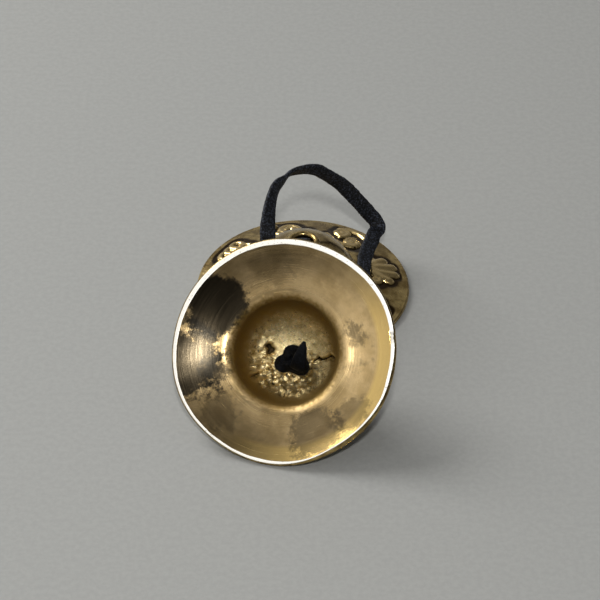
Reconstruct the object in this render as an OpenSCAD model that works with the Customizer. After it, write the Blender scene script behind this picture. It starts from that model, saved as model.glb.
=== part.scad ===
// A pair of small cast brass hand cymbals, joined by one flat leather thong.
// The rear cymbal lies on its rim with the dome up. The front cymbal leans back, open side up.
// The origin is the centre of the rear cymbal's rim, on the ground. +Y points away from the front cymbal.

/* [Cymbal] */
// Diameter over the rim
rim_d = 65; // [54:1:78]
// Height of the dome above the rim's ground face, without the bead
cymbal_h = 19.3; // [16:0.1:23.2]
// Outer radius of the dome
dome_r = 17; // [14.1:0.1:18]
// Wall of the dome
dome_wall = 3; // [2:0.1:3.6]
// Diameter of the thong's hole
hole_d = 6.2; // [5.1:0.1:7.5]
// Radius of the bead round the hole's mouth
bead_r = 1.05; // [0.6:0.05:1.3]
// Radius of the hollow corner between dome and flange, outside
foot_r = 1.8; // [1:0.1:2.5]
// Radius of the round lip between dome and flange, inside
lip_r = 2.6; // [1.5:0.1:3]

/* [Rim] */
// Height of the flange's back edge above the ground face
edge_h = 1.6; // [1.3:0.1:2.4]
// Rounding of the back edge
edge_r = 0.7; // [0.3:0.1:1]
// Bevel outside the ground face
bevel = 0.4; // [0.2:0.1:0.6]
// Width of the ground face that the cymbal is struck and stands on
ground_w = 0.8; // [0.6:0.1:1.5]
// How much higher the flange is at the dome than at its edge
flange_rise = 3.9; // [3:0.1:4.5]
// Wall of the flange beside the dome
flange_wall = 2.6; // [2:0.1:3.2]
// Width of the steep band inside the ground face
band_w = 4.4; // [3:0.1:6]
// Depth of the steep band
band_h = 1.4; // [1:0.1:1.8]

/* [Thong] */
// Width of the leather strap
strap_w = 4.6; // [3:0.1:5]
// Thickness of the leather strap
strap_t = 1.5; // [1:0.1:2]
// Size of a knot along and across the strap, and its height
knot_size = [11, 8.8, 5.4];
// Clearance between a knot and the dome that it sits in
knot_gap = 0.6; // [0.3:0.1:1.5]
// Gap left in the strap's solid at each place where it bends
bend_gap = 0.6; // [0.4:0.1:1]
// Where the front knot sits off its hole's axis
knot_shift = [1, 1.9];

/* [Pose] */
// Height angle of the direction that the front cymbal opens in
front_lean = 45.5; // [40:0.5:55]
// How far the front cymbal is turned aside
front_turn = 15; // [0:1:30]
// Place of the front cymbal's rim centre, across
front_x = -5.7; // [-10:0.1:10]
// Distance from the rear cymbal's rim to the front cymbal's rim centre
front_gap = 22.6; // [22:0.1:30]

/* [Hidden] */
BRASS = [0.72, 0.57, 0.32];
LEATHER = [0.06, 0.06, 0.07];

rim_r = rim_d / 2;
hole_r = hole_d / 2;
dome_z = cymbal_h - dome_r;
cavity_r = dome_r - dome_wall;
flange_top = edge_h + flange_rise;
flange_under = flange_top - flange_wall;
ground_out = rim_r - bevel;
ground_in = ground_out - ground_w;

// A rounding of radius r that touches a circle of radius big round the dome's centre and the level z.
function corner(big, r, z) = [sqrt(pow(big + r, 2) - pow(z + r - dome_z, 2)), z + r];
function arc(c, r, from, to, steps) =
    [for (i = [0 : steps]) let (a = from + (to - from) * i / steps) c + r * [cos(a), sin(a)]];
function unit(v) = v / norm(v);

dome_c = [0, dome_z];
foot_c = corner(dome_r, foot_r, flange_top);
foot_a = atan2(foot_c[1] - dome_z, foot_c[0]);
lip_c = corner(cavity_r, lip_r, flange_under);
lip_a = atan2(lip_c[1] - dome_z, lip_c[0]);
bead_a = acos((hole_r + 2 * bead_r) / dome_r);
bead_z = dome_z + dome_r * sin(bead_a);
hole_a = acos(hole_r / cavity_r);
crown_z = bead_z + bead_r;
// A knot is a block with round corners. It sits as high in the dome as its corners can go.
knot_r = knot_size[2] / 2;
knot_corner = [knot_size[0] / 2 - knot_r, knot_size[1] / 2 - knot_r];
knot_z = dome_z + sqrt(pow(cavity_r - knot_r - knot_gap, 2) - pow(norm(knot_corner + knot_shift), 2));
neck_top = crown_z + bend_gap / 2;

section = concat(
    [[ground_in, 0], [ground_out, 0], [rim_r, bevel]],
    arc([rim_r - edge_r, edge_h - edge_r], edge_r, 0, 90, 4),
    arc(foot_c, foot_r, 270, 180 + foot_a, 5),
    arc(dome_c, dome_r, foot_a, bead_a, 14),
    arc([hole_r + bead_r, bead_z], bead_r, 0, 180, 8),
    arc(dome_c, cavity_r, hole_a, lip_a, 14),
    arc(lip_c, lip_r, 180 + lip_a, 270, 6),
    [[ground_in - band_w, band_h]]);

// The front cymbal stands on the round back edge of its rim.
front_z = (rim_r - edge_r) * cos(front_lean) + (edge_h - edge_r) * sin(front_lean) + edge_r;

// The thong's route from the rear hole to the top of its loop: place, then direction of its width.
rear_route = [
    [[0, 0, 20.4], [1, 0, 0]],
    [[0, -0.8, 21.6], [1, 0, 0]],
    [[-0.3, -2.8, 22.2], [1, -0.1, 0]],
    [[-1.3, -6, 21.6], [1, -0.3, 0]],
    [[-3, -9.5, 20.5], [1, -0.5, 0]],
    [[-5.3, -12.8, 20.2], [1, -0.6, 0]],
    [[-7.7, -15.1, 21.8], [1, -0.6, 0]],
    [[-9.5, -16.2, 25], [1, -0.4, 0]],
    [[-10.3, -15.6, 29.5], [1, 0.1, 0]],
    [[-10.4, -13.2, 34], [1, 0.2, -0.2]],
    [[-10.1, -9.6, 37.1], [0.8, 0.3, -0.6]],
    [[-9.3, -5.2, 39.3], [0.5, 0.2, -0.8]],
    [[-8, -0.6, 40.2], [0.2, 0, -1]],
    [[-5.8, 3.2, 39.9], [-0.3, 0.1, -0.9]],
    [[-3.9, 6.4, 40.1], [-0.4, 0.4, -0.8]],
    [[-1.3, 7.9, 40], [-0.3, 0.4, -0.9]],
    [[0.9, 8.7, 39.8], [-0.3, 0.3, -0.9]]];
// From the top of the loop, down its far side, round the dome and over the rim to the front hole.
front_route = [
    [[1.7, 8.95, 39.7], [-0.3, 0.3, -0.9]],
    [[3.7, 9.6, 39], [-0.3, 0.2, -0.9]],
    [[6.2, 10.9, 36.6], [-0.5, 0.2, -0.8]],
    [[9, 12.6, 33.3], [-0.7, 0.1, -0.7]],
    [[12, 14.6, 29.2], [-0.8, -0.2, -0.6]],
    [[15, 16.4, 24.1], [-0.8, -0.4, -0.6]],
    [[17.9, 17.8, 19.3], [-0.7, -0.5, -0.5]],
    [[20.4, 18.6, 15.1], [-0.8, -0.4, -0.4]],
    [[22.5, 18.5, 12.2], [-0.9, -0.1, -0.4]],
    [[23.4, 17, 10.4], [-1, 0.1, 0.1]],
    [[22.3, 15, 10.3], [-1, 0.2, 0.3]],
    [[21.2, 11.4, 10], [-0.9, 0.2, 0.4]],
    [[20, 7.6, 9.8], [-0.9, 0.2, 0.5]],
    [[19, 3.6, 9.4], [-0.9, 0.1, 0.5]],
    [[18.5, -1, 8.9], [-0.9, 0, 0.5]],
    [[18, -6, 8.4], [-0.9, -0.1, 0.4]],
    [[16.7, -11.5, 7.9], [-0.9, -0.3, 0.3]],
    [[14.3, -17, 7.4], [-0.8, -0.4, 0.2]],
    [[11, -22.2, 6.4], [-0.8, -0.5, 0.1]],
    [[7.5, -26.7, 5.6], [-0.8, -0.6, 0]],
    [[4.3, -30.4, 5], [-0.8, -0.5, 0]],
    [[1.6, -33.5, 4.6], [-0.9, -0.3, 0]],
    [[-0.2, -36.1, 4.9], [-1, 0.1, 0]],
    [[-1.2, -38.6, 6.4], [-1, 0.3, 0]],
    [[-2, -41.2, 9], [-1, 0.3, 0]]];
// The loose ends beyond the knots, from their knot's centre, with a width at each point.
rear_end = [
    [[-3, 1.5, -0.6], [0.4, 1, 0], 4.2],
    [[-5.6, 2.8, -1.7], [0.4, 1, 0], 3.8],
    [[-7.6, 3.9, -2.3], [0.4, 1, 0], 3],
    [[-9.2, 4.8, -2.5], [0.4, 1, 0], 1]];
front_end = [
    [[1.6, 1.7, -1], [1, 0.2, 0], 4.4],
    [[2.4, 1.8, -3.4], [1, 0.2, 0], 4.6],
    [[2.9, 0.5, -5.2], [1, 0.1, 0], 4.4],
    [[3.2, -1.7, -6.2], [1, 0, 0], 3.6],
    [[3.4, -3.9, -6.6], [1, 0, 0], 2.4],
    [[3.6, -5.9, -6.6], [1, 0, 0], 0.8]];

function route_width(p) = len(p) > 2 ? p[2] : strap_w;
function tangent(route, i) =
    unit(route[min(i + 1, len(route) - 1)][0] - route[max(i - 1, 0)][0]);
// One ring of the strap: a flat oblong with its four corners cut.
function ring(p, t) =
    let (across = unit(p[1] - (p[1] * t) * t), up = cross(t, across),
         w = route_width(p) / 2, h = strap_t / 2, c = min(strap_t / 4, w / 2))
    [for (q = [[w, c], [w - c, h], [c - w, h], [-w, c], [-w, -c], [c - w, -h], [w - c, -h], [w, -c]])
        p[0] + q[0] * across + q[1] * up];

module strap(route) {
    sides = 8;
    last = (len(route) - 1) * sides;
    points = [for (i = [0 : len(route) - 1]) each ring(route[i], tangent(route, i))];
    walls = [for (i = [0 : len(route) - 2], j = [0 : sides - 1])
        let (a = i * sides + j, b = i * sides + (j + 1) % sides)
        each [[a, a + sides, b], [b, a + sides, b + sides]]];
    ends = [[for (j = [0 : sides - 1]) j], [for (j = [sides - 1 : -1 : 0]) last + j]];
    polyhedron(points, concat(walls, ends));
}

module cymbal() rotate_extrude($fn = 180) polygon(section);

// A knot with the neck of strap that runs from it through the hole.
module knot(shift) {
    at_knot(shift) hull()
        for (x = [-1, 1], y = [-1, 1])
            translate([x * knot_corner[0], y * knot_corner[1], 0]) sphere(knot_r, $fn = 24);
    translate([-strap_w / 2, -strap_t / 2, knot_z]) cube([strap_w, strap_t, neck_top - knot_z]);
}

module at_knot(shift) translate([shift[0], shift[1], knot_z]) children();
module at_front()
    translate([front_x, -rim_r - front_gap, front_z]) rotate([-90 - front_lean, 0, -front_turn]) children();

module rear_cymbal() color(BRASS) cymbal();
module front_cymbal() color(BRASS) at_front() cymbal();
module rear_knot() color(LEATHER) knot([0, 0]);
module front_knot() color(LEATHER) at_front() knot(knot_shift);
module rear_tail() color(LEATHER) at_knot([0, 0]) strap(rear_end);
module front_tail() color(LEATHER) at_front() at_knot(knot_shift) strap(front_end);
module rear_leg() color(LEATHER) strap(rear_route);
module front_leg() color(LEATHER) strap(front_route);

rear_cymbal();
front_cymbal();
rear_knot();
rear_tail();
rear_leg();
front_leg();
front_knot();
front_tail();
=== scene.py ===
# %% [markdown]
# # A pair of cast brass hand cymbals on one leather thong
# The CAD model is the frame: it says where each cymbal, knot and stretch of thong is, and which of
# them turn. This lesson gives each one its finished shape and its finish. Sizes below are in
# millimetres, as a maker would call them out, and are turned to metres where a mesh is made.

# %% Load the frame and keep its box
import math

import bpy
import numpy as np
from mathutils import Matrix, Vector


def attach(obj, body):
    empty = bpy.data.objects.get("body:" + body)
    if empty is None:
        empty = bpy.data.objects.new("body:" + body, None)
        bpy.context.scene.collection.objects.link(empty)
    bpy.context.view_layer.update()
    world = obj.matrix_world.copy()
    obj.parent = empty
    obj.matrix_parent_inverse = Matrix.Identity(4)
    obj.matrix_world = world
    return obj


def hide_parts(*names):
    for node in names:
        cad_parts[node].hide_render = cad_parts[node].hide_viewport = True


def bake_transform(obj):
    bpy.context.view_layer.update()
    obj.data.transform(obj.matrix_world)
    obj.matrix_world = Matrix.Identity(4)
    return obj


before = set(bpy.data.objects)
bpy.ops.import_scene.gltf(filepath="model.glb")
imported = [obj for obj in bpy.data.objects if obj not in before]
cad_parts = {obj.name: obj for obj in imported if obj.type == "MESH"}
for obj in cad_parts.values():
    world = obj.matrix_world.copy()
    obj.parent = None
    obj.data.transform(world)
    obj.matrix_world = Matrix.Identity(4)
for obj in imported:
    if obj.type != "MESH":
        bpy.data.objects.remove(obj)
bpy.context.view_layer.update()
MM = 0.001

# %% [markdown]
# ## The camera
# A long lens from well back keeps the two rims nearly true ellipses, as when one looks down at a
# small thing on the ground. It could be aimed by a constraint, but a plain rotation about X is
# enough, because the view runs straight along +Y and only tips down. The Standard view transform
# keeps a ground edge white and a stain dark. The usual one softens both, and brass looks waxy.

# %% Camera
look_at = Vector((-0.0009, -0.0051, 0.0))
look_down = math.radians(40.5)
camera_distance = 0.75
camera = bpy.data.objects.new("camera", bpy.data.cameras.new("camera"))
camera.location = look_at + camera_distance * Vector((0, -math.cos(look_down), math.sin(look_down)))
camera.rotation_euler = (math.pi / 2 - look_down, 0, 0)
camera.data.lens = 146.9
camera.data.clip_end = 20
bpy.context.collection.objects.link(camera)
bpy.context.scene.camera = camera
bpy.context.scene.view_settings.view_transform = "Standard"
print("camera at", tuple(round(x, 3) for x in camera.location))

# %% [markdown]
# ## Where the front cymbal sits
# Both cymbals are modelled lying on the ground face of their rim, axis up. One matrix then leans
# the front one back on the thong and turns it a little.

# %% The front cymbal's placement
rim_r = 32.5
front_lean = math.radians(45.5)
front_turn = math.radians(15)
front_place = (
    Matrix.Translation(Vector((-5.7, -rim_r - 22.6, 23.6308)) * MM)
    @ Matrix.Rotation(-front_turn, 4, "Z")
    @ Matrix.Rotation(-math.pi / 2 - front_lean, 4, "X")
)


def at_front(point):
    """A place on the front cymbal, in its own millimetres, given in the frame's millimetres."""
    return np.array(front_place @ (Vector(point) * MM)) / MM


print("front crown at", at_front((0, 0, 19.5)).round(2))

# %% [markdown]
# ## The thong's line
# The thong is one flat strip of black leather. It leaves the rear crown, loops up, bends sharply
# on the rim, runs round the dome and goes in at the front crown. A flat strip needs a place and
# the direction of its width at each point. Both are carried along one smooth curve, whose slope
# at each point is weighed by its two neighbours, so unevenly spaced points make no bulges.

# %% Points along the thong
rear_route = [
    ((0, -0.3, 17.2), (1, 0, 0)), ((0, -0.6, 19.6), (1, 0, 0)), ((-0.1, -1.7, 20.8), (1, 0, 0)),
    ((-0.4, -3.6, 21.2), (1, -0.1, 0)), ((-1.3, -6.2, 21), (1, -0.3, 0)),
    ((-3, -9.5, 20.5), (1, -0.5, 0)), ((-5.3, -12.8, 20.2), (1, -0.6, 0)),
    ((-7.7, -15.1, 21.8), (1, -0.6, 0)), ((-9.5, -16.2, 25), (1, -0.4, 0)),
    ((-10.3, -15.6, 29.5), (1, 0.1, 0)), ((-10.4, -13.2, 34), (1, 0.2, -0.2)),
    ((-10.1, -9.6, 37.1), (0.8, 0.3, -0.6)), ((-9.3, -5.2, 39.3), (0.5, 0.2, -0.8)),
    ((-8, -0.6, 40.2), (0.2, 0, -1)), ((-5.8, 3.2, 39.9), (-0.3, 0.1, -0.9)),
    ((-3.9, 6.4, 40.1), (-0.4, 0.4, -0.8)), ((-1.3, 7.9, 40), (-0.3, 0.4, -0.9)),
    ((0.9, 8.7, 39.8), (-0.3, 0.3, -0.9)),
]
front_route = [
    ((3.7, 9.6, 39), (-0.3, 0.2, -0.9)), ((6.2, 10.9, 36.6), (-0.5, 0.2, -0.8)),
    ((9, 12.6, 33.3), (-0.7, 0.1, -0.7)), ((12, 14.6, 29.2), (-0.8, -0.2, -0.6)),
    ((15, 16.4, 24.1), (-0.8, -0.4, -0.6)), ((17.9, 17.8, 19.3), (-0.7, -0.5, -0.5)),
    ((20.4, 18.6, 15.1), (-0.8, -0.4, -0.4)), ((22.5, 18.5, 12.2), (-0.9, -0.1, -0.4)),
    ((23.4, 17, 10.4), (-1, 0.1, 0.1)), ((22.3, 15, 10.3), (-1, 0.2, 0.3)),
    ((21.2, 11.4, 10), (-0.9, 0.2, 0.4)), ((20, 7.6, 9.8), (-0.9, 0.2, 0.5)),
    ((19, 3.6, 9.4), (-0.9, 0.1, 0.5)), ((18.5, -1, 8.9), (-0.9, 0, 0.5)),
    ((18, -6, 8.4), (-0.9, -0.1, 0.4)), ((16.7, -11.5, 7.9), (-0.9, -0.3, 0.3)),
    ((14.3, -17, 7.4), (-0.8, -0.4, 0.2)), ((11, -22.2, 6.4), (-0.8, -0.5, 0.1)),
    ((7.5, -26.7, 5.6), (-0.8, -0.6, 0)), ((4.3, -30.4, 5), (-0.8, -0.5, 0)),
    ((1.6, -33.5, 4.6), (-0.9, -0.3, 0)), ((-0.2, -36.1, 4.9), (-1, 0.1, 0)),
    ((-1.2, -38.6, 6.4), (-1, 0.3, 0)), (tuple(at_front((0, 0, 20.5))), (-0.966, 0.259, 0)),
    (tuple(at_front((0, 0, 17.2))), (-0.966, 0.259, 0)),
]
print(len(rear_route) + len(front_route), "points on the thong")


# %% A smooth line through points
def smooth_line(points, step):
    """Rows of numbers, the first three a place, as a smooth line cut every step millimetres."""
    points = np.array(points, float)
    chord = np.linalg.norm(np.diff(points[:, :3], axis=0), axis=1)
    at = np.concatenate([[0], np.cumsum(chord)])
    rise = np.diff(points, axis=0) / chord[:, None]
    slope = np.empty_like(points)
    slope[0], slope[-1] = rise[0], rise[-1]
    before, after = chord[:-1, None], chord[1:, None]
    slope[1:-1] = (after * rise[:-1] + before * rise[1:]) / (before + after)
    fine = np.linspace(0, at[-1], int(at[-1] / 0.05))
    i = np.clip(np.searchsorted(at, fine, "right") - 1, 0, len(chord) - 1)
    span = chord[i][:, None]
    t = (fine[:, None] - at[i][:, None]) / span
    line = (
        (2 * t**3 - 3 * t**2 + 1) * points[i] + (t**3 - 2 * t**2 + t) * span * slope[i]
        + (3 * t**2 - 2 * t**3) * points[i + 1] + (t**3 - t**2) * span * slope[i + 1]
    )
    run = np.concatenate([[0], np.cumsum(np.linalg.norm(np.diff(line[:, :3], axis=0), axis=1))])
    even = np.linspace(0, run[-1], int(round(run[-1] / step)) + 1)
    return np.stack([np.interp(even, run, column) for column in line.T], axis=1), run[-1]


thong_step = 0.35
thong_line, thong_length = smooth_line([p + w for p, w in rear_route + front_route], thong_step)
print("thong", round(thong_length, 1), "mm between the two holes,", len(thong_line), "rings")

# %% [markdown]
# ## The strip itself
# A Curve with a bevel would make a tube, and it twists where it likes. Here each ring of the strip
# is an oblong with round corners, laid across the line in the direction of its width. The two cut
# edges of real leather are never straight, so the points there are moved a little at random.


# %% Rings of a leather strip
def strip_rings(line, width, thick, rough_edge, seed):
    """Rings of points round a line of places and width directions. width may be one for each ring."""
    sides = 28
    turn = (np.arange(sides) + 0.5) / sides * 2 * math.pi
    flat = np.sign(np.cos(turn)) * np.abs(np.cos(turn)) ** 0.4
    deep = np.sign(np.sin(turn)) * np.abs(np.sin(turn)) ** 0.75
    place, across = line[:, :3], line[:, 3:6]
    along = np.gradient(place, axis=0)
    along /= np.linalg.norm(along, axis=1, keepdims=True)
    across = across - (across * along).sum(1, keepdims=True) * along
    across /= np.linalg.norm(across, axis=1, keepdims=True)
    up = np.cross(along, across)
    draw = np.random.default_rng(seed)
    fray = draw.normal(0, rough_edge, (len(line), sides))
    fray = (fray + np.roll(fray, 1, 0) + np.roll(fray, -1, 0)) / 1.7
    edge = np.clip((np.abs(flat) - 0.7) / 0.3, 0, 1)
    half = np.broadcast_to(np.asarray(width, float) / 2, (len(line),))[:, None]
    side = flat * half + np.sign(flat) * fray * edge
    lift = deep * thick / 2 * np.minimum(1, half) + 0.3 * fray * (1 - edge)
    return place[:, None] + side[..., None] * across[:, None] + lift[..., None] * up[:, None]


# %% From rings to a closed mesh
def add_piece(name, points, faces, smooth=True):
    """A new object of this name from points in millimetres."""
    mesh = bpy.data.meshes.new(name)
    mesh.from_pydata((np.asarray(points) * MM).tolist(), [], faces)
    mesh.polygons.foreach_set("use_smooth", [smooth] * len(mesh.polygons))
    mesh.update()
    piece = bpy.data.objects.new(name, mesh)
    bpy.context.collection.objects.link(piece)
    return piece


def skin_faces(rings, sides, first=0):
    """The walls between rings, and a cap at each end."""
    walls = [
        (first + i * sides + j, first + i * sides + (j + 1) % sides,
         first + (i + 1) * sides + (j + 1) % sides, first + (i + 1) * sides + j)
        for i in range(rings - 1) for j in range(sides)
    ]
    start = tuple(first + j for j in reversed(range(sides)))
    last = first + (rings - 1) * sides
    return walls + [start, tuple(last + j for j in range(sides))]


def strip_piece(name, rings):
    """A closed strip whose cut ends stay flat."""
    piece = add_piece(name, rings.reshape(-1, 3), skin_faces(*rings.shape[:2]))
    for cap in (-1, -2):
        piece.data.polygons[cap].use_smooth = False
    return piece


# %% [markdown]
# ## Three stretches of thong, end to end
# The cymbals hang from one strip, and the strip bends at three places: at each crown, and at the
# top of the loop. A blended mesh can bend at one joint only, so the strip is cut into three
# stretches that share a ring where they meet. The cuts lie where both sides move as one.

# %% Cut the thong
strap_width = 4.6
strap_thick = 1.35
thong_rings = strip_rings(thong_line, strap_width, strap_thick, 0.06, 11)
rear_stretch_end = 31.5
loop_stretch_end = 122
first_cut = int(rear_stretch_end / thong_step)
second_cut = int(loop_stretch_end / thong_step)


def thong_stretch(name, start, stop, nodes):
    """One stretch of the thong, from ring start to ring stop, with the frame's parts for it hidden."""
    piece = strip_piece(name, thong_rings[start : stop + 1])
    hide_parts(*nodes)
    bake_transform(piece)
    print(name, round(thong_step * (stop - start), 1), "mm")
    return piece


thong_rear = thong_stretch("thong_rear", 0, first_cut, ["rear_leg"])
thong_loop = thong_stretch("thong_loop", first_cut, second_cut, ["rear_leg", "front_leg"])
thong_front = thong_stretch("thong_front", second_cut, len(thong_line) - 1, ["front_leg"])

# %% [markdown]
# ## Knots and loose ends
# Inside each dome the strip is tied in an overhand knot that cannot pass the hole. An overhand
# knot follows a trefoil, so the strip is swept along one, pulled tight until its turns press into
# each other. A voxel remesh then joins the turns and the neck into one closed skin with soft folds.

# %% Tie a knot
cavity_r = 14
knot_height = 11.65
neck_top = 18.6
neck_rings = 30


def knot_turns(swell):
    """The strip's rings along a tight trefoil knot, round the knot's own centre."""
    t = np.linspace(0, 2 * math.pi, 150)
    place = np.stack([1.3 * (np.sin(t) + 2 * np.sin(2 * t)), 0.98 * (np.cos(t) - 2 * np.cos(2 * t)),
                      -1.55 * np.sin(3 * t)], axis=1)
    outward = place * [1, 1, 0.0]
    outward /= np.linalg.norm(outward, axis=1, keepdims=True) + 0.2
    across = outward + np.array([0, 0, 0.9]) * np.sin(3 * t + 0.6)[:, None]
    return strip_rings(np.hstack([place, across]), swell, 1.5, 0.02, 5)


def tie_knot(name, shift, seed):
    """A knot with the neck of strip that goes up from it into the hole."""
    centre = np.array([shift[0], shift[1], knot_height])
    turns = knot_turns(3.7) + centre
    steps = np.linspace(0, 1, neck_rings)[:, None]
    neck_line = centre * (1 - steps) + np.array([0, 0, neck_top]) * steps
    neck_rows = np.hstack([neck_line, np.tile([1.0, 0, 0], (neck_rings, 1))])
    neck = strip_rings(neck_rows, 4.3, strap_thick, 0.02, seed)
    core_line = np.array([[-3.2, -0.6, 0, 0, 1, 0], [0, 0, 0, 0, 1, 0.2], [3.2, 0.5, 0, 0, 1, 0]])
    core = strip_rings(core_line + np.r_[centre, 0, 0, 0], 5.6, 3.4, 0.0, seed)
    points = np.vstack([x.reshape(-1, 3) for x in (turns, neck, core)])
    faces = skin_faces(*turns.shape[:2])
    faces += skin_faces(*neck.shape[:2], first=turns[..., 0].size)
    faces += skin_faces(*core.shape[:2], first=turns[..., 0].size + neck[..., 0].size)
    knot = add_piece(name, points, faces)
    remesh = knot.modifiers.new("one skin", "REMESH")
    remesh.mode = "VOXEL"
    remesh.voxel_size = 0.2 * MM
    remesh.use_smooth_shade = True
    soften = knot.modifiers.new("soft folds", "SMOOTH")
    soften.factor = 0.5
    soften.iterations = 3
    made = bpy.data.meshes.new_from_object(knot.evaluated_get(bpy.context.evaluated_depsgraph_get()))
    knot.modifiers.clear()
    knot.data = made
    print(name, len(made.polygons), "faces")
    return knot


rear_knot = tie_knot("rear_knot_wraps", (0, 0), 21)
front_knot = tie_knot("front_knot_wraps", (1, 1.9), 22)
front_knot.data.transform(front_place)


# %% Cut the loose ends
def loose_end(name, shift, points, seed):
    """The strip's end beyond its knot, cut to a point, from rows of place, width direction and width."""
    centre = np.r_[shift, knot_height, 0, 0, 0, 0]
    line, length = smooth_line(np.array(points) + centre, 0.3)
    line[:, 3:6] += 0.25 * np.sin(np.linspace(0, 4, len(line)))[:, None] * [0, 1, 0.6]
    print(name, round(length, 1), "mm")
    return strip_piece(name, strip_rings(line[:, :6], line[:, 6], 1.3, 0.07, seed))


rear_tail = loose_end("rear_tail_end", (0, 0), [
    (-3, 1.5, -0.6, 0.4, 1, 0, 4.2), (-5.6, 2.8, -1.7, 0.4, 1, 0, 3.8),
    (-7.6, 3.9, -2.3, 0.4, 1, 0, 3), (-9.2, 4.8, -2.5, 0.4, 1, 0, 1)], 31)
front_tail = loose_end("front_tail_end", (1, 1.9), [
    (1.6, 1.7, -1, 1, 0.2, 0, 4.4), (2.4, 1.8, -3.4, 1, 0.2, 0, 4.6), (2.9, 0.5, -5.2, 1, 0.1, 0, 4.4),
    (3.2, -1.7, -6.2, 1, 0, 0, 3.6), (3.4, -3.9, -6.6, 1, 0, 0, 2.4), (3.6, -5.9, -6.6, 1, 0, 0, 0.8)], 32)
front_tail.data.transform(front_place)
tied_ends = (
    (rear_knot, "rear_knot", "rear_hitch"), (rear_tail, "rear_tail", "rear_hitch"),
    (front_knot, "front_knot", "front_hitch"), (front_tail, "front_tail", "front_hitch"),
)
for piece, node, body in tied_ends:
    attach(piece, body)
    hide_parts(node)

# %% [markdown]
# ## The cymbal's section
# A cymbal is cast, then its inside and rim are turned on a lathe. A Screw modifier could spin the
# section, but the finished piece is only nearly round, and its face carries raised ornament. So
# the section is laid out as rings, and every ring is then changed a little at each angle.


# %% Lay out the section
def bend(centre, radius, start, stop, rings):
    """Rings along a round part of the section. Angles are in degrees."""
    turn = np.radians(np.linspace(start, stop, rings))
    return np.stack([centre[0] + radius * np.cos(turn), centre[1] + radius * np.sin(turn)], axis=1)


def straight(start, stop, rings):
    """Rings along a straight part of the section."""
    return np.linspace(start, stop, rings)


def dish_curve(radius):
    """The hollow side of the flange: flat beside the dome and steeper toward the rim."""
    fall = np.clip((radius - lip_c[0]) / (ground_in - lip_c[0]), 0, 1)
    return np.stack([radius, flange_under * (1 - fall**1.9)], axis=1)


dome_z = 2.3
dome_r = 17
hole_r = 3.1
bead_r = 1.05
flange_top = 5.5
flange_under = 2.9
edge_top = 1.6
edge_r = 0.7
foot_r = 1.8
foot_z = flange_top + foot_r
foot_c = (math.sqrt((dome_r + foot_r) ** 2 - (foot_z - dome_z) ** 2), foot_z)
foot_a = math.degrees(math.atan2(foot_c[1] - dome_z, foot_c[0]))
# The hollow is an oval, wider at its mouth than a ball. wall_a is where it meets the lip, and
# wall_lean is its slope there.
mouth_r = 15.6
lip_r = 3.4
wall_a = 13.0
wall_lean = 14.4
wall_x = mouth_r * math.cos(math.radians(wall_a))
lip_c = (wall_x + lip_r * math.cos(math.radians(wall_lean)), flange_under + lip_r)
bead_a = math.degrees(math.acos((hole_r + 2 * bead_r) / dome_r))
bead_z = dome_z + dome_r * math.sin(math.radians(bead_a))
hole_a = math.degrees(math.acos(hole_r / mouth_r))
hole_foot = dome_z + cavity_r * math.sin(math.radians(hole_a))
ground_in = 31.3
ground_out = 32.1
parts_of_section = {
    "ground": straight((ground_in, 0), (ground_out, 0), 5),
    "edge": np.vstack([straight((32.18, 0.06), (rim_r, 0.42), 3), straight((rim_r, 0.6), (rim_r, 0.85), 3),
                       bend((rim_r - edge_r, edge_top - edge_r), edge_r, 5, 84, 6)]),
    "face": straight((rim_r - 0.8, edge_top), (foot_c[0] + 0.2, flange_top), 50),
    "dome": np.vstack([bend(foot_c, foot_r, 268, 182 + foot_a, 6),
                       bend((0, dome_z), dome_r, foot_a + 1, bead_a - 1, 26)]),
    "bead": bend((hole_r + bead_r, bead_z), bead_r, 2, 178, 12),
    "hole": straight((hole_r, bead_z - 0.3), (hole_r, hole_foot + 0.3), 5),
    "cavity": bend((0, 0), 1, hole_a, wall_a, 54) * [mouth_r, cavity_r] + [0, dome_z],
    "lip": bend(lip_c, lip_r, 184 + wall_lean, 268, 10),
    "dish": dish_curve(np.linspace(lip_c[0] + 0.4, ground_in - 0.06, 34)),
}
section = np.vstack(list(parts_of_section.values()))
part_of_ring = np.concatenate([[name] * len(rows) for name, rows in parts_of_section.items()])
print("section of", len(section), "rings")

# %% [markdown]
# ## Ornament on the face
# Eight good-luck signs are raised round the face: flowers, leaves, scrolls, loops. They were
# carved in the pattern that the sand was packed round, so they are rounded ridges with a sunken
# ground beside them. Each sign is drawn with strokes, and a point of the face is lifted by how
# near it is to a stroke. That gives real shape, which catches light in a way that bump cannot.


# %% Strokes for the signs
def ring_stroke(x, y, rx, ry, start=0, stop=360, tilt=0):
    """Part of an oval round x, y, as points."""
    turn = np.radians(np.linspace(start, stop, 22))
    c, s = math.cos(math.radians(tilt)), math.sin(math.radians(tilt))
    px, py = rx * np.cos(turn), ry * np.sin(turn)
    return np.stack([x + c * px - s * py, y + s * px + c * py], axis=1)


def curl_stroke(x, y, radius, turns, start, way=1):
    """A scroll that winds in to x, y."""
    t = np.linspace(0, 1, 26)
    turn = np.radians(start) + way * t * turns * 2 * math.pi
    r = radius * (1 - 0.8 * t)
    return np.stack([x + r * np.cos(turn), y + r * np.sin(turn)], axis=1)


def line_stroke(*points):
    return np.array(points, float)


def turned(count, make):
    """The same stroke at several turns round the middle."""
    return [make(math.cos(a), math.sin(a)) for a in np.arange(count) * 2 * math.pi / count]


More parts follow.
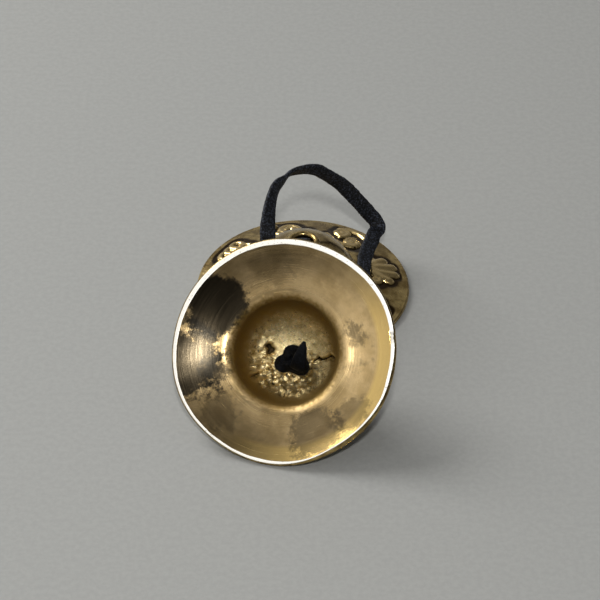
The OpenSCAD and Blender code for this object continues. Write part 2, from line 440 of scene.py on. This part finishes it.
# Each sign is a list of a stroke and half its width.
flower = turned(8, lambda c, s: (line_stroke((2 * c, 2 * s), (4 * c, 4 * s)), 0.85))
flower += [(line_stroke((0, 0), (0.1, 0)), 1.2)]
leaf_tips = ((-4, 0.9), (-1.5, 2.9), (1.5, 2.9), (4, 0.9))
leaves = [(line_stroke((x / 3, -2.6), (x * 0.8, -0.6), (x, y)), 1.15) for x, y in leaf_tips]
leaves += [(curl_stroke(x, -2.6, 1.3, 1, 90 - 60 * way, way), 0.55) for x, way in ((-4.2, 1), (4.2, -1))]
scroll = [(curl_stroke(-2.7, 1.2, 2.2, 1.4, 300), 0.7), (curl_stroke(2.7, -1.2, 2.2, 1.4, 120), 0.7),
          (ring_stroke(0, 0.6, 5.4, 3.8, 30, 140), 0.7), (ring_stroke(0, -0.4, 5.2, 3.8, 210, 320), 0.7),
          (line_stroke((-4.9, -2.4), (-3.2, -3.4)), 0.9)]
loops = [(ring_stroke(x, y, 1.6, 1.6), 0.62) for x in (-2.5, 0, 2.5) for y in (-1.4, 1.6)]
bud = [(ring_stroke(0, -0.3, 2.1, 2.6), 0.75), (line_stroke((0, -1), (0, 1)), 0.9),
       (curl_stroke(-3.6, 2, 1.6, 1.2, 320), 0.6), (curl_stroke(3.6, 2, 1.6, 1.2, 220, -1), 0.6),
       (line_stroke((-2, -3.8), (2, -3.8)), 0.7)]
wheel = [(ring_stroke(0, 0, 3.6, 3.6), 0.7), (line_stroke((0, 0), (0.1, 0)), 1.1)]
wheel += turned(8, lambda c, s: (line_stroke((1.4 * c, 1.4 * s), (3 * c, 3 * s)), 0.4))
shell = [(curl_stroke(0.3, 0, 3.6, 1.9, 200), 0.72), (line_stroke((2.4, -3), (4.6, -3.6)), 0.8),
         (line_stroke((3.4, -1), (5.2, -1.2)), 0.8), (line_stroke((-4.4, 1.6), (-3, 3.4)), 0.8)]
parasol = [(ring_stroke(0, -1, 4.4, 3.8, 0, 180), 0.75), (line_stroke((-4.4, -1.2), (4.4, -1.2)), 0.7),
           (line_stroke((0, -1), (0, -3.8)), 0.6), (ring_stroke(-1.5, -0.6, 1, 2.4, 0, 180), 0.5),
           (ring_stroke(1.5, -0.6, 1, 2.4, 0, 180), 0.5)]
signs = [scroll, leaves, flower, bud, wheel, parasol, loops, shell]
sign_ring_r = 24.9
sign_scale = 1.18
print([len(sign) for sign in signs], "strokes")


# %% Height of the ornament
def near_stroke(points, stroke):
    """How far each point is from a stroke."""
    best = np.full(len(points), 9.0)
    for a, b in zip(stroke[:-1], stroke[1:]):
        d = b - a
        t = np.clip(((points - a) @ d) / (d @ d + 1e-9), 0, 1)
        best = np.minimum(best, np.linalg.norm(points - a - t[:, None] * d, axis=1))
    return best


def ornament(radius, angle, first_angle):
    """Lift of the face at each radius and angle (arrays of one shape), in millimetres."""
    lift = np.zeros(radius.size)
    x, y = (radius * np.cos(angle)).ravel(), (radius * np.sin(angle)).ravel()
    for number, sign in enumerate(signs):
        middle = first_angle - number * math.pi / 4
        out = x * math.cos(middle) + y * math.sin(middle) - sign_ring_r
        side = x * math.sin(middle) - y * math.cos(middle)
        close = (np.abs(out) < 7) & (np.abs(side) < 9.6)
        points = np.stack([side[close], out[close]], axis=1) / sign_scale
        ridge = np.zeros(len(points))
        nearest = np.full(len(points), 9.0)
        for stroke, half in sign:
            away = near_stroke(points, stroke)
            round_top = np.clip(1 - (away / half / 1.25) ** 2, 0, 1) ** 0.9
            ridge = np.maximum(ridge, min(0.9 * half, 0.95) * round_top)
            nearest = np.minimum(nearest, away)
        sunken = 0.34 * np.exp(-((nearest / 1.9) ** 2))
        lift[close] += ridge - sunken * (ridge <= 0)
    return lift.reshape(radius.shape)


# %% [markdown]
# ## The raw inside of the dome
# The lathe tool does not reach into the dome, so its inside keeps the skin of the casting: a crust
# of metal grains, pits, and two cold cracks where the metal met. Grains are round bumps strewn
# by a seeded draw, and cracks are strokes again, cut in instead of raised.


# %% Grains, pits and cracks
grain_count = 360
crust_end_r = 14.4


def cast_skin(x, y, seed, cracks):
    """Lift of the dome's inside at each place, in millimetres. Plus is toward the hollow."""
    draw = np.random.default_rng(seed)
    flat_x, flat_y = x.ravel(), y.ravel()
    lift = np.zeros(flat_x.size)
    reach = np.hypot(flat_x, flat_y)
    for _ in range(grain_count):
        turn = draw.normal(math.radians(112), 0.8)
        r = draw.uniform(5, 12.2)
        size = draw.uniform(0.22, 0.6)
        high = draw.choice([-1, 1], p=[0.45, 0.55]) * draw.uniform(0.25, 0.6) * size
        away = ((flat_x - r * math.cos(turn)) ** 2 + (flat_y - r * math.sin(turn)) ** 2) / size**2
        lift += high * np.exp(-away)
    points = np.stack([flat_x, flat_y], axis=1)
    for crack, wide, deep in cracks:
        away = near_stroke(points, crack)
        raised_lips = 0.25 * deep * np.exp(-(((away - 2 * wide) / wide) ** 2))
        lift -= deep * np.exp(-((away / wide) ** 2)) - raised_lips
    lift *= np.clip((crust_end_r - reach) / 1.4, 0, 1)
    return np.clip(lift, -0.9, 0.55).reshape(x.shape)


front_cracks = [
    (line_stroke((6.2, 0.6), (7.6, -0.6), (9, -0.2), (10.4, -0.9), (11.6, -1.6), (13, -1)), 0.3, 0.85),
    (line_stroke((-5.6, 4.9), (-7, 6.2), (-8, 6.6), (-9.9, 8.4)), 0.22, 0.5),
    (line_stroke((-7.4, -1.4), (-6.2, -0.6), (-6.9, 0.2)), 0.75, 1.1),
]
rear_cracks = [(line_stroke((-6, 3), (-8, 4.4), (-10.5, 4.2)), 0.24, 0.5)]
print(len(front_cracks), "cracks in front,", len(rear_cracks), "behind,", grain_count, "grains in each")

# %% [markdown]
# ## Pour the two cymbals
# One function makes both, from one grid of rings and angles. Each gets its own draw of random
# numbers, its own place for the first sign, and its own wear on the rim, so they are a pair and
# not copies. Strips of faces get a finish by which part of the section they belong to.


# %% Wear on the rim
def soft_hill(angle, middle, wide):
    """1 at the middle angle, falling smoothly to 0. Angles are in degrees."""
    off = (np.degrees(angle) - middle + 180) % 360 - 180
    return np.exp(-((off / wide) ** 2))


def ripple(draw, angle, high, waves):
    """A wavy line that closes on itself, of these numbers of waves round the cymbal."""
    return sum(draw.normal(0, high) * np.cos(k * angle + draw.uniform(0, 6.3)) for k in waves)


def wear_rim(radius, height, angle, draw, ground_high_side, worn_side):
    """Grind and wear the rings of the rim. The two grids are changed in place."""
    # The ground face is wide where the grinding cut deep and narrow where it hardly touched.
    wobble = ripple(draw, angle, 0.035, range(2, 9))
    fine = ripple(draw, angle, 0.005, range(9, 40))
    extra = 0.2 + 0.42 * np.cos(angle - math.radians(ground_high_side)) + wobble + fine
    extra = np.maximum(extra - 0.3 * soft_hill(angle, worn_side, 34), -0.48)
    pulled_in = 0.75 * soft_hill(angle, worn_side, 26) + 0.25 * soft_hill(angle, worn_side - 40, 12)
    dish = part_of_ring == "dish"
    along = np.clip((section[dish, 0] - 24) / (ground_in - 24), 0, 1)
    radius[dish] -= (extra + pulled_in) * along[:, None] ** 1.5
    ground = part_of_ring == "ground"
    share = (ground_out - section[ground, 0]) / (ground_out - ground_in)
    radius[ground] -= extra * share[:, None] + pulled_in
    bevel = np.flatnonzero(part_of_ring == "edge")[:3]
    radius[bevel[:2]] -= np.array([[0.9], [0.45]]) * pulled_in
    height[bevel] += np.array([[0.05], [0.25], [0.45]]) * pulled_in
    height[bevel[-1] + 1] += 0.4 * pulled_in


def knock_outline(radius, height, angle, draw, worn_side, chip):
    """Put the outline a little out of round, and leave a nick where it was knocked once."""
    round_off = ripple(draw, angle, 0.05, range(2, 7))
    outer = np.clip((section[:, 0] - 20) / 12, 0, 1)[:, None]
    radius += outer * (round_off - 0.16 * soft_hill(angle, worn_side + 12, 12))
    rim = np.isin(part_of_ring, ["ground", "edge"])[:, None] * np.clip((edge_top - height) / edge_top, 0, 1)
    nick = soft_hill(angle, chip, 2.2) * (1 + 0.5 * np.sin(angle * 190))
    height += 0.5 * nick * rim
    radius -= 0.35 * nick * rim


# %% Relief on the face and crust in the dome
def raise_relief(radius, height, every, first_sign, crust_seed, cracks):
    """Lift the face by its ornament, and the dome's inside by its crust along the section's normal."""
    face = part_of_ring == "face"
    along = section[face, 0]
    fade = np.clip((ground_in - along) / 1.1, 0, 1) * np.clip((along - foot_c[0]) / 0.9, 0, 1)
    lift = np.zeros_like(radius)
    lift[face] = ornament(radius[face], every[face], math.radians(first_sign)) * fade[:, None]
    height[face] += lift[face]
    inside = part_of_ring == "cavity"
    inside_x = radius[inside] * np.cos(every[inside])
    inside_y = radius[inside] * np.sin(every[inside])
    lift[inside] = cast_skin(inside_x, inside_y, crust_seed, cracks)
    slope_out = np.stack([-section[inside, 0], dome_z - section[inside, 1]], axis=1) / cavity_r
    radius[inside] += lift[inside] * slope_out[:, :1]
    height[inside] += lift[inside] * slope_out[:, 1:]
    return lift


# %% What a finish has to know about each point
def store_marks(piece, points, every, lift, place):
    """Store each point's place as cast, the direction away from the axis, and how hollow it is."""
    outward = np.stack([np.cos(every), np.sin(every), 0 * every], axis=2).reshape(-1, 3)
    outward = outward @ np.array(place.to_3x3()).T
    for key, values in (("cast_place", points), ("outward", outward)):
        stored = piece.data.attributes.new(key, "FLOAT_VECTOR", "POINT")
        stored.data.foreach_set("vector", values.astype(np.float32).ravel())
    hollow = piece.data.attributes.new("hollow", "FLOAT", "POINT")
    deep = np.where(part_of_ring == "cavity", 0.5, 0.22)[:, None]
    hollow.data.foreach_set("value", np.clip(-lift / deep, -1, 1).astype(np.float32).ravel())


def face_finishes():
    """The finish's number for each strip of faces, by the part of the section it belongs to."""
    finish_of = {"ground": 0, "edge": 1, "face": 1, "dome": 1, "bead": 1, "hole": 1, "cavity": 3}
    numbers = [finish_of.get(part, 2) for part in part_of_ring]
    numbers[len(parts_of_section["ground"]) - 1] = 1
    return numbers


# %% Cast a cymbal
angles_round = 464


def cast_cymbal(name, place, first_sign, ground_high_side, worn_side, chip, seed, cracks):
    """A whole cymbal. The sides, the first sign and the chip are angles in degrees round the axis."""
    draw = np.random.default_rng(seed)
    angle = np.arange(angles_round) / angles_round * 2 * math.pi
    radius = np.repeat(section[:, :1], angles_round, axis=1)
    height = np.repeat(section[:, 1:], angles_round, axis=1)
    every = np.repeat(angle[None], len(section), axis=0)
    wear_rim(radius, height, angle, draw, ground_high_side, worn_side)
    knock_outline(radius, height, angle, draw, worn_side, chip)
    lift = raise_relief(radius, height, every, first_sign, seed + 1, cracks)
    points = np.stack([radius * np.cos(every), radius * np.sin(every), height], axis=2).reshape(-1, 3)
    faces = []
    for i in range(len(section)):
        here, there = i * angles_round, (i + 1) % len(section) * angles_round
        for j in range(angles_round):
            after = (j + 1) % angles_round
            faces.append((here + after, there + after, there + j, here + j))
    piece = add_piece(name, points, faces)
    store_marks(piece, points, every, lift, place)
    piece.data.transform(place)
    piece.data.polygons.foreach_set("material_index", np.repeat(face_finishes(), angles_round))
    print(name, len(faces), "faces")
    return piece


# %% Cast both
rear_casting = cast_cymbal("rear_casting", Matrix.Identity(4), 56, 100, 300, 200, 3, rear_cracks)
front_casting = cast_cymbal("front_casting", front_place, 20, 262, 42, -17, 8, front_cracks)
for piece, node in ((rear_casting, "rear_cymbal"), (front_casting, "front_cymbal")):
    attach(piece, node)
    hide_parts(node)


# %% [markdown]
# ## Building a finish from nodes
# Each finish is a Principled shader fed by a few patterns. The patterns use the object's own
# coordinates in millimetres, so grain sizes below are real sizes. A small helper wires a node to
# what feeds it, which keeps each finish short enough to read.


# %% Helpers for finishes
class Finish:
    """One material and short ways to add nodes to it."""

    def __init__(self, name, cast=False, **settings):
        self.material = bpy.data.materials.new(name)
        self.material.use_nodes = True
        self.tree = self.material.node_tree
        self.shader = self.tree.nodes["Principled BSDF"]
        for socket, value in settings.items():
            self.shader.inputs[socket.replace("_", " ")].default_value = value
        if cast:
            self.place = self.stored("cast_place", "Vector")
        else:
            coords = self.tree.nodes.new("ShaderNodeTexCoord")
            self.place = self.vector("SCALE", coords.outputs["Object"], Scale=1000)

    def node(self, kind, inputs=(), output=0, **properties):
        made = self.tree.nodes.new(kind)
        for key, value in properties.items():
            setattr(made, key, value)
        for key, value in dict(inputs).items():
            if isinstance(value, bpy.types.NodeSocket):
                self.tree.links.new(value, made.inputs[key])
            else:
                made.inputs[key].default_value = value
        return made.outputs[output]

    def stored(self, name, output="Fac"):
        return self.node("ShaderNodeAttribute", (), output, attribute_name=name)

    def vector(self, operation, a, b=None, **inputs):
        inputs = {0: a, **inputs}
        if b is not None:
            inputs[1] = b
        output = "Value" if operation in ("LENGTH", "DOT_PRODUCT", "DISTANCE") else "Vector"
        return self.node("ShaderNodeVectorMath", inputs, output, operation=operation)

    def math(self, operation, a, b=0.0, c=0.0):
        return self.node("ShaderNodeMath", {0: a, 1: b, 2: c}, operation=operation)

    def noise(self, scale, detail=4.0, rough=0.55, where=None, bend=0.0):
        where = self.place if where is None else where
        return self.node("ShaderNodeTexNoise", {"Vector": where, "Scale": scale, "Detail": detail,
                                                "Roughness": rough, "Distortion": bend}, "Fac")

    def spread(self, value, low, high, to_low=0.0, to_high=1.0):
        return self.node("ShaderNodeMapRange", {0: value, 1: low, 2: high, 3: to_low, 4: to_high},
                         interpolation_type="SMOOTHSTEP")

    def mix(self, share, a, b):
        return self.node("ShaderNodeMix", {0: share, 6: a, 7: b}, 2, data_type="RGBA")

    def bump(self, height, distance, strength=1.0, under=None):
        inputs = {"Height": height, "Distance": distance * MM, "Strength": strength}
        if under is not None:
            inputs["Normal"] = under
        return self.node("ShaderNodeBump", inputs, "Normal")

    def feed(self, **sockets):
        for socket, value in sockets.items():
            self.tree.links.new(value, self.shader.inputs[socket.replace("_", " ")])


def shade(red, green, blue):
    return (red, green, blue, 1.0)


# %% [markdown]
# ## Turned brass
# The lathe leaves fine rings round the axis. They are noise stretched round the circle: it changes
# fast with the radius and slowly with the angle. The shader is also set anisotropic, with the
# outward direction that the mesh stores as its tangent, so a lamp's light spreads outward in a
# bow-tie, as on a pan. Radial Tangent would do for a piece whose own Z is the axis, but the front
# cymbal leans. The raw dome is made by the same function with no stretch, since no tool cut it.


# %% Tool marks, stains and painted dark reflections, and the raw skin with painted shade
def lathe_lines(finish, fine):
    """Noise that follows the turning marks, the radius, and the direction away from the axis."""
    parts = finish.node("ShaderNodeSeparateXYZ", {0: finish.place})
    split = parts.node
    flat = finish.node("ShaderNodeCombineXYZ", {0: split.outputs[0], 1: split.outputs[1]})
    radius = finish.vector("LENGTH", flat)
    round_way = finish.vector("NORMALIZE", flat)
    way = finish.node("ShaderNodeSeparateXYZ", {0: round_way}).node
    path = finish.node("ShaderNodeCombineXYZ", {0: finish.math("MULTIPLY", radius, fine),
                                                1: way.outputs[0], 2: way.outputs[1]})
    return finish.noise(1.6, 5, 0.6, where=path), radius, way


# Nearly black patches, partly real stains where hands and damp have darkened it and partly painted
# reflection of dark surroundings: a middle, how far it reaches and how dark it is.
stains_and_dark_reflections = [
    ((-22.5, -9.5, 2), 8.2, 0.96), ((-27, 8.5, 2), 11, 0.96), ((-19, 9, 2), 6, 0.85),
    ((-15, 19, 1), 5, 0.35), ((-17, 3, 3), 1.5, 0.6), ((20.5, -7, 2), 4.2, 0.6),
    ((22, -0.5, 2), 3.6, 0.4), ((-8, -24, 1), 4.5, 0.22), ((13, 21, 1), 6.5, 0.6), ((22, 14, 1), 4, 0.45),
]


def polished_colour(finish, radius, way):
    """Brass under the tool marks, with a painted warm reflection on the band, stains and painted dark
    reflections, and flecks.
    """
    across, down = way.outputs[0], way.outputs[1]
    clouds = finish.noise(0.16, 5, 0.6)
    smear = finish.noise(0.07, 3, 0.5, bend=0.6)
    colour = finish.mix(finish.spread(clouds, 0.35, 0.66), shade(0.44, 0.305, 0.135), shade(0.6, 0.43, 0.21))
    # A painted warm reflection: the steep band inside the rim is made warm and bright on one side.
    on_band = finish.spread(radius, 26.2, 28.0)
    band_reflection_side = finish.spread(finish.math("ADD", across, finish.math("MULTIPLY", down, 0.55)), -0.1, 0.75)
    # Painted reflection: warm gold laid on the band, on one side only.
    colour = finish.mix(finish.math("MULTIPLY", on_band, band_reflection_side), colour, shade(0.72, 0.5, 0.18))
    torn = finish.spread(finish.noise(0.4, 6, 0.75), 0.3, 0.7, -2, 2)
    ragged = finish.math("ADD", finish.spread(smear, 0.25, 0.75, -3, 3), torn)
    # Each patch is partly real stain and partly painted dark reflection.
    for middle, reach, depth in stains_and_dark_reflections:
        away = finish.math("ADD", finish.vector("DISTANCE", finish.place, middle), ragged)
        blot = finish.math("MULTIPLY", finish.spread(away, reach + 1.6, reach - 1.6), depth)
        colour = finish.mix(blot, colour, shade(0.022, 0.019, 0.014))
    fleck = finish.spread(finish.noise(2.4, 3, 0.7), 0.66, 0.74)
    return finish.mix(finish.math("MULTIPLY", fleck, 0.35), colour, shade(0.2, 0.13, 0.06))


def raw_skin_with_painted_shade(finish, radius):
    """The skin of the casting, pale in the crown, with painted shade darkening it brown toward the mouth of
    the dome.
    """
    patches = finish.spread(finish.noise(0.55, 6, 0.7), 0.36, 0.62)
    colour = finish.mix(patches, shade(0.55, 0.42, 0.19), shade(0.88, 0.71, 0.38))
    # Painted shade: the wall near the dome's mouth is darkened brown.
    return finish.mix(finish.spread(radius, 9, 14.5), colour, shade(0.24, 0.155, 0.045))


# %% Put the turned and the raw parts together
def turned_brass(name, stretch):
    """The inside of a cymbal. stretch is how far the tool marks draw out a lamp's light."""
    finish = Finish(name, cast=True, Metallic=1.0, Anisotropic=stretch)
    lines, radius, way = lathe_lines(finish, 2.6)
    mottle = finish.noise(0.9, 6, 0.65)
    edge = finish.math("ADD", radius, finish.spread(mottle, 0.3, 0.7, -0.7, 0.7))
    raw = finish.spread(edge, 17.6, 15.0)
    colour = finish.mix(raw, polished_colour(finish, radius, way), raw_skin_with_painted_shade(finish, radius))
    pit = finish.stored("hollow")
    colour = finish.mix(finish.spread(pit, 0.55, 1.0), colour, shade(0.045, 0.03, 0.014))
    rough = finish.spread(finish.mix(raw, lines, mottle), 0.25, 0.75, 0.17, 0.28)
    near_lip = finish.math("MULTIPLY", finish.spread(radius, 19.5, 16.5), finish.spread(radius, 12.0, 14.5))
    rough = finish.math("ADD", rough, finish.math("MULTIPLY", near_lip, 0.16))
    rough = finish.math("ADD", rough, finish.math("MULTIPLY", raw, 0.06))
    turned = finish.bump(finish.mix(raw, lines, shade(0.5, 0.5, 0.5)), 0.03)
    grain = finish.bump(finish.math("MULTIPLY", finish.noise(2.8, 6, 0.7), raw), 0.22, 0.8, under=turned)
    tangent = finish.node("ShaderNodeVectorTransform", {0: finish.stored("outward", "Vector")},
                          vector_type="VECTOR", convert_from="OBJECT", convert_to="WORLD")
    finish.feed(Base_Color=colour, Roughness=rough, Normal=grain, Tangent=tangent)
    return finish.material


# %% [markdown]
# ## The ground rim and the cast face
# The rim is ground flat and rubbed bright each time the pair is struck, so it is the palest metal
# with a few dark pits. Its near-white, mostly matt colour is also a painted reflection of the bright
# sky. The face keeps a brown skin in the hollows round the ornament, while the ridges are rubbed to
# gold. The mesh says which points are hollow, so the brown follows the shape.


# %% Ground rim and cast face
def ground_rim():
    finish = Finish("ground rim", cast=True, Metallic=0.3)
    pits = finish.spread(finish.noise(1.5, 3, 0.6), 0.63, 0.7)
    scratch = finish.noise(4.5, 2, 0.5)
    # Painted reflection: the near-white colour stands for the bright sky mirrored in the ground metal.
    colour = finish.mix(pits, shade(0.98, 0.94, 0.85), shade(0.3, 0.22, 0.12))
    finish.feed(Base_Color=colour, Roughness=finish.spread(scratch, 0.3, 0.7, 0.34, 0.48),
                Normal=finish.bump(scratch, 0.03, under=finish.bump(pits, -0.08)))
    return finish.material


def cast_face():
    finish = Finish("cast face", cast=True, Metallic=1.0)
    lines = lathe_lines(finish, 1.8)[0]
    clouds = finish.noise(0.22, 5, 0.6)
    colour = finish.mix(finish.spread(clouds, 0.36, 0.64), shade(0.24, 0.16, 0.055), shade(0.56, 0.41, 0.17))
    hollow = finish.stored("hollow")
    colour = finish.mix(finish.spread(hollow, 0.05, 0.4), colour, shade(0.035, 0.02, 0.007))
    colour = finish.mix(finish.spread(hollow, -0.3, -1.0), colour, shade(0.64, 0.47, 0.21))
    dust = finish.spread(finish.noise(0.5, 5, 0.6), 0.56, 0.7)
    colour = finish.mix(finish.math("MULTIPLY", dust, 0.4), colour, shade(0.24, 0.16, 0.08))
    rough = finish.spread(finish.noise(0.7, 5, 0.6), 0.3, 0.7, 0.12, 0.3)
    dents = finish.bump(finish.noise(0.8, 3, 0.5), 0.12, 0.5)
    finish.feed(Base_Color=colour, Roughness=rough, Normal=finish.bump(lines, 0.012, under=dents))
    return finish.material


finishes = [ground_rim(), cast_face(), turned_brass("turned brass", 0.75), turned_brass("raw dome", 0.0)]
for piece in (rear_casting, front_casting):
    for finish in finishes:
        piece.data.materials.append(finish)
print([finish.name for finish in finishes])


# %% [markdown]
# ## Black leather
# The strip is dyed nearly black, and its rough side shows a stipple of paler, bluish fibre ends.
# A fine noise gives the stipple, a slower one the rubbed places, and a bump of the same grain
# makes each fibre end catch light. The knots lie out of the light inside the domes, so they get a darker copy
# of the leather: painted shade.


# %% Leather
def black_leather(name, pale, shine):
    """Leather whose fibre ends have this pale colour, and this much shine."""
    finish = Finish(name, Specular_IOR_Level=shine)
    grain = finish.noise(1.7, 5, 0.75)
    rub = finish.noise(0.35, 4, 0.6)
    worn = finish.spread(rub, 0.3, 0.65, 0.45, 1.0)
    speck = finish.math("MULTIPLY", finish.spread(grain, 0.48, 0.64), worn)
    colour = finish.mix(speck, shade(0.0012, 0.0012, 0.0016), pale)
    finish.feed(Base_Color=colour, Roughness=finish.spread(grain, 0.3, 0.7, 0.75, 0.5),
                Normal=finish.bump(grain, 0.22, 0.9))
    return finish.material


strap_leather = black_leather("black leather", shade(0.058, 0.067, 0.094), 0.25)
# The knots' leather is a darker copy of the strap's: painted shade.
knot_leather = black_leather("shaded knot leather", shade(0.005, 0.006, 0.009), 0.08)
for piece in (thong_rear, thong_loop, thong_front, rear_knot, rear_tail, front_knot, front_tail):
    piece.data.materials.clear()
    piece.data.materials.append(strap_leather if piece.name.startswith("thong") else knot_leather)
    print(piece.name, "is in", piece.data.materials[0].name)

# %% [markdown]
# ## Floor and light
# A pale matt floor and soft lamps. Polished metal shows its surroundings more than its own colour,
# so each lamp is placed for what it does in the dish. The window lamp stands behind at the left,
# where the dish can't mirror it, and lights everything else. The streak lamp is small and high in
# front: it whitens the ground rim and draws the streak at the left. The sky lamp is wide and weak,
# and gives the right half of the dish its pale sheen.

# %% Floor
floor_corners = [(x, y, -0.05) for x, y in ((-1500, -1500), (1500, -1500), (1500, 1500), (-1500, 1500))]
floor = add_piece("floor", floor_corners, [(0, 1, 2, 3)], smooth=False)
floor_finish = Finish("pale floor", Roughness=0.8)
floor_tone = floor_finish.mix(floor_finish.spread(floor_finish.noise(0.6, 5, 0.6), 0.3, 0.7),
                              shade(0.27, 0.27, 0.255), shade(0.295, 0.295, 0.278))
floor_finish.feed(Base_Color=floor_tone)
floor.data.materials.append(floor_finish.material)
print(floor.name, "is a", floor_finish.material.name)


# %% Lamps
def lamp(name, place, size, watts, aim=(-0.003, -0.03, 0.015)):
    """A round soft lamp, in metres, that faces the front cymbal."""
    data = bpy.data.lights.new(name, "AREA")
    data.shape = "DISK"
    data.size = size
    data.energy = watts
    made = bpy.data.objects.new(name, data)
    made.location = place
    made.rotation_euler = (Vector(aim) - Vector(place)).to_track_quat("-Z", "Y").to_euler()
    bpy.context.collection.objects.link(made)
    print(name, watts, "W")


lamp("window lamp", (-0.64, 0.5, 0.72), 0.6, 10)
lamp("sky lamp", (-0.58, -0.56, 0.7), 0.62, 0.4)
lamp("streak lamp", (0.0, -0.56, 0.64), 0.055, 3.0)


# %% The room
def room_light():
    """A room that is bright toward the window at the left and the wall behind, and dark on the other side."""
    room = bpy.data.worlds.new("room")
    room.use_nodes = True
    tree = room.node_tree
    coords = tree.nodes.new("ShaderNodeTexCoord")
    total = None
    for way, start, strength in (((-0.9, 0.1, 0.3), 0.3, 0.65), ((-0.35, 0.8, 0.5), 0.35, 0.3)):
        toward = tree.nodes.new("ShaderNodeVectorMath")
        toward.operation = "DOT_PRODUCT"
        toward.inputs[1].default_value = Vector(way).normalized()
        fall = tree.nodes.new("ShaderNodeMapRange")
        fall.interpolation_type = "SMOOTHSTEP"
        for socket, value in ((1, start), (2, 1.0), (3, 0.06), (4, strength)):
            fall.inputs[socket].default_value = value
        tree.links.new(coords.outputs["Generated"], toward.inputs[0])
        tree.links.new(toward.outputs["Value"], fall.inputs[0])
        if total is None:
            total = fall.outputs[0]
            continue
        both = tree.nodes.new("ShaderNodeMath")
        tree.links.new(total, both.inputs[0])
        tree.links.new(fall.outputs[0], both.inputs[1])
        total = both.outputs[0]
    tree.links.new(total, tree.nodes["Background"].inputs["Strength"])
    tree.nodes["Background"].inputs["Color"].default_value = shade(0.98, 0.99, 1.0)
    return room


bpy.context.scene.world = room_light()
print("world", bpy.context.scene.world.name)
